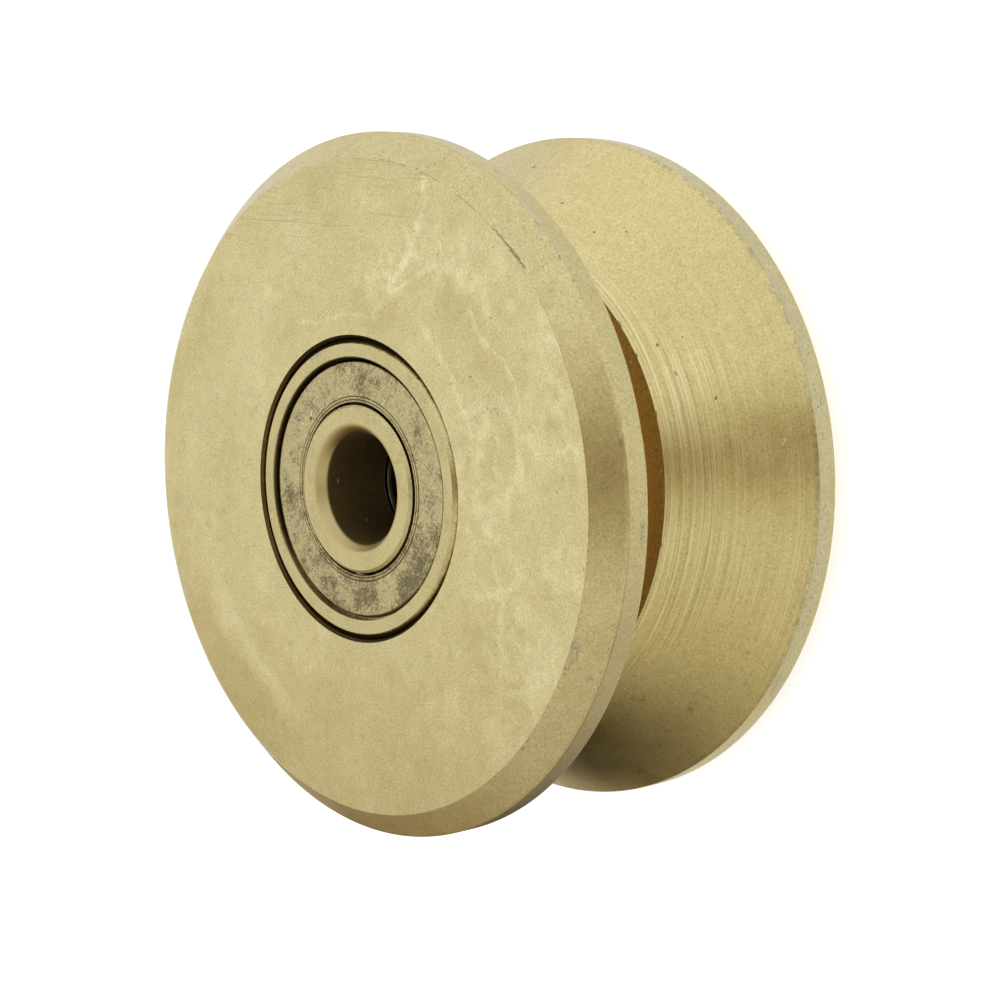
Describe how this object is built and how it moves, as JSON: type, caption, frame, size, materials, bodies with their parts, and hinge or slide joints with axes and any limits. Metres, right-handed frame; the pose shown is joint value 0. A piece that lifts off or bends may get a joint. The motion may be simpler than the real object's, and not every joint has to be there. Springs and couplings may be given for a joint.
{
  "type": "gate wheel",
  "caption": "V-groove wheel of a sliding gate: a turned steel body with a relief slot in its groove, turning on shielded ball bearings around a spacer tube.",
  "frame": {"origin": "on the spin axis, half-way between the wheel's two flat faces, in the middle plane of the groove", "axes": "+Z along the spin axis, out of the front face; +X through the first ball of each bearing. The wheel stands on its back face"},
  "size_m": [0.075, 0.075, 0.0364],
  "materials": {
    "wheel_plating": "satin, pale gold plating with turning lines",
    "ring_plating": "satin, pale gold plating on ground rings",
    "shield_sheet": "stained, dull sheet",
    "spacer_steel": "plain drawn tube",
    "cage_plastic": "natural polyamide",
    "ball_steel": "polished bearing steel"
  },
  "bodies": {
    "fixed_rings": {"front_inner_ring": "ring_plating", "back_inner_ring": "ring_plating", "spacer_tube": "spacer_steel"},
    "wheel": {"wheel_body": "wheel_plating", "front_outer_ring": "ring_plating", "front_outside_shield": "shield_sheet", "front_inside_shield": "shield_sheet", "back_outer_ring": "ring_plating", "back_outside_shield": "shield_sheet", "back_inside_shield": "shield_sheet"},
    "front_cage": {"front_cage": "cage_plastic"},
    "front_ball_1": {"front_ball_1": "ball_steel"},
    "front_ball_2": {"front_ball_2": "ball_steel"},
    "front_ball_3": {"front_ball_3": "ball_steel"},
    "front_ball_4": {"front_ball_4": "ball_steel"},
    "front_ball_5": {"front_ball_5": "ball_steel"},
    "front_ball_6": {"front_ball_6": "ball_steel"},
    "front_ball_7": {"front_ball_7": "ball_steel"},
    "back_cage": {"back_cage": "cage_plastic"},
    "back_ball_1": {"back_ball_1": "ball_steel"},
    "back_ball_2": {"back_ball_2": "ball_steel"},
    "back_ball_3": {"back_ball_3": "ball_steel"},
    "back_ball_4": {"back_ball_4": "ball_steel"},
    "back_ball_5": {"back_ball_5": "ball_steel"},
    "back_ball_6": {"back_ball_6": "ball_steel"},
    "back_ball_7": {"back_ball_7": "ball_steel"}
  },
  "joints": [
    {"name": "wheel_spin", "type": "hinge", "parent": "fixed_rings", "child": "wheel", "pos_m": [0, 0, 0], "axis": [0, 0, 1], "continuous": true},
    {"name": "front_cage_spin", "type": "hinge", "parent": "fixed_rings", "child": "front_cage", "pos_m": [0, 0, 0.0132], "axis": [0, 0, 1], "continuous": true},
    {"name": "front_ball_1_spin", "type": "hinge", "parent": "front_cage", "child": "front_ball_1", "pos_m": [0.011, 0, 0.0132], "axis": [0, 0, 1], "continuous": true},
    {"name": "front_ball_2_spin", "type": "hinge", "parent": "front_cage", "child": "front_ball_2", "pos_m": [0.00686, 0.0086, 0.0132], "axis": [0, 0, 1], "continuous": true},
    {"name": "front_ball_3_spin", "type": "hinge", "parent": "front_cage", "child": "front_ball_3", "pos_m": [-0.00245, 0.01072, 0.0132], "axis": [0, 0, 1], "continuous": true},
    {"name": "front_ball_4_spin", "type": "hinge", "parent": "front_cage", "child": "front_ball_4", "pos_m": [-0.00991, 0.00477, 0.0132], "axis": [0, 0, 1], "continuous": true},
    {"name": "front_ball_5_spin", "type": "hinge", "parent": "front_cage", "child": "front_ball_5", "pos_m": [-0.00991, -0.00477, 0.0132], "axis": [0, 0, 1], "continuous": true},
    {"name": "front_ball_6_spin", "type": "hinge", "parent": "front_cage", "child": "front_ball_6", "pos_m": [-0.00245, -0.01072, 0.0132], "axis": [0, 0, 1], "continuous": true},
    {"name": "front_ball_7_spin", "type": "hinge", "parent": "front_cage", "child": "front_ball_7", "pos_m": [0.00686, -0.0086, 0.0132], "axis": [0, 0, 1], "continuous": true},
    {"name": "back_cage_spin", "type": "hinge", "parent": "fixed_rings", "child": "back_cage", "pos_m": [0, 0, -0.0132], "axis": [0, 0, 1], "continuous": true},
    {"name": "back_ball_1_spin", "type": "hinge", "parent": "back_cage", "child": "back_ball_1", "pos_m": [0.011, 0, -0.0132], "axis": [0, 0, 1], "continuous": true},
    {"name": "back_ball_2_spin", "type": "hinge", "parent": "back_cage", "child": "back_ball_2", "pos_m": [0.00686, 0.0086, -0.0132], "axis": [0, 0, 1], "continuous": true},
    {"name": "back_ball_3_spin", "type": "hinge", "parent": "back_cage", "child": "back_ball_3", "pos_m": [-0.00245, 0.01072, -0.0132], "axis": [0, 0, 1], "continuous": true},
    {"name": "back_ball_4_spin", "type": "hinge", "parent": "back_cage", "child": "back_ball_4", "pos_m": [-0.00991, 0.00477, -0.0132], "axis": [0, 0, 1], "continuous": true},
    {"name": "back_ball_5_spin", "type": "hinge", "parent": "back_cage", "child": "back_ball_5", "pos_m": [-0.00991, -0.00477, -0.0132], "axis": [0, 0, 1], "continuous": true},
    {"name": "back_ball_6_spin", "type": "hinge", "parent": "back_cage", "child": "back_ball_6", "pos_m": [-0.00245, -0.01072, -0.0132], "axis": [0, 0, 1], "continuous": true},
    {"name": "back_ball_7_spin", "type": "hinge", "parent": "back_cage", "child": "back_ball_7", "pos_m": [0.00686, -0.0086, -0.0132], "axis": [0, 0, 1], "continuous": true}
  ],
  "couplings": [
    {"joint": "front_cage_spin", "follows": "wheel_spin", "ratio": 0.63545},
    {"joint": "front_ball_1_spin", "follows": "wheel_spin", "ratio": 1.7102},
    {"joint": "front_ball_2_spin", "follows": "wheel_spin", "ratio": 1.7102},
    {"joint": "front_ball_3_spin", "follows": "wheel_spin", "ratio": 1.7102},
    {"joint": "front_ball_4_spin", "follows": "wheel_spin", "ratio": 1.7102},
    {"joint": "front_ball_5_spin", "follows": "wheel_spin", "ratio": 1.7102},
    {"joint": "front_ball_6_spin", "follows": "wheel_spin", "ratio": 1.7102},
    {"joint": "front_ball_7_spin", "follows": "wheel_spin", "ratio": 1.7102},
    {"joint": "back_cage_spin", "follows": "wheel_spin", "ratio": 0.63545},
    {"joint": "back_ball_1_spin", "follows": "wheel_spin", "ratio": 1.7102},
    {"joint": "back_ball_2_spin", "follows": "wheel_spin", "ratio": 1.7102},
    {"joint": "back_ball_3_spin", "follows": "wheel_spin", "ratio": 1.7102},
    {"joint": "back_ball_4_spin", "follows": "wheel_spin", "ratio": 1.7102},
    {"joint": "back_ball_5_spin", "follows": "wheel_spin", "ratio": 1.7102},
    {"joint": "back_ball_6_spin", "follows": "wheel_spin", "ratio": 1.7102},
    {"joint": "back_ball_7_spin", "follows": "wheel_spin", "ratio": 1.7102}
  ]
}
